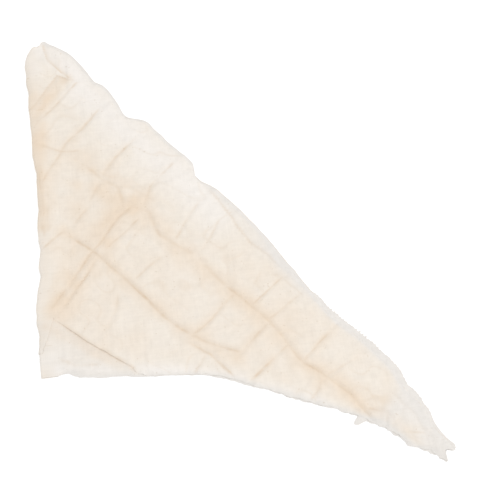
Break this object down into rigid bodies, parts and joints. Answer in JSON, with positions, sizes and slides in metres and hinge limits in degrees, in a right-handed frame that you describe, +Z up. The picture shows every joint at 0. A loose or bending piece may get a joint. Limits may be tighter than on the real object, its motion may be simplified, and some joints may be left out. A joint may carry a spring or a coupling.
{
  "type": "arm sling",
  "caption": "Triangular unbleached-muslin arm sling, folded in half twice and laid flat, with pressed packing creases, pinked raw edges and long tie ends that fold back.",
  "frame": {"origin": "centre of the bounding box, on the plane the folded sling rests on", "axes": "+Z up, out of the cloth; +Y towards the blunt corner along the folded side; +X towards the long tail"},
  "size_m": [0.5024, 0.527, 0.0072],
  "materials": {
    "outer_muslin": "matt unbleached plain weave",
    "inner_muslin": "matt unbleached plain weave",
    "folded_muslin": "matt unbleached plain weave, pressed into a fold"
  },
  "bodies": {
    "ends_half": {"outer_end_panel": "outer_muslin", "inner_end_panel": "inner_muslin", "outer_half_fold": "folded_muslin", "inner_half_fold": "folded_muslin"},
    "point_half": {"inner_point_panel": "inner_muslin", "outer_point_panel": "outer_muslin", "long_fold": "folded_muslin"},
    "tie_ends": {"outer_end_tail": "outer_muslin", "inner_end_tail": "inner_muslin"},
    "tie_tips": {"outer_end_tip": "outer_muslin", "inner_end_tip": "inner_muslin"}
  },
  "joints": [
    {"name": "half_fold", "type": "hinge", "parent": "ends_half", "child": "point_half", "pos_m": [-0.22147, 0.03296, 0.0036], "axis": [-0.1324, 0.9912, 0], "range_deg": [0, 180]},
    {"name": "tail_crease", "type": "hinge", "parent": "ends_half", "child": "tie_ends", "pos_m": [-0.00973, -0.09569, 0.0102], "axis": [-0.7169, -0.6972, 0], "range_deg": [0, 180]},
    {"name": "tip_crease", "type": "hinge", "parent": "tie_ends", "child": "tie_tips", "pos_m": [0.13069, -0.16837, 0.0076], "axis": [-0.7169, -0.6972, 0], "range_deg": [0, 180]}
  ]
}
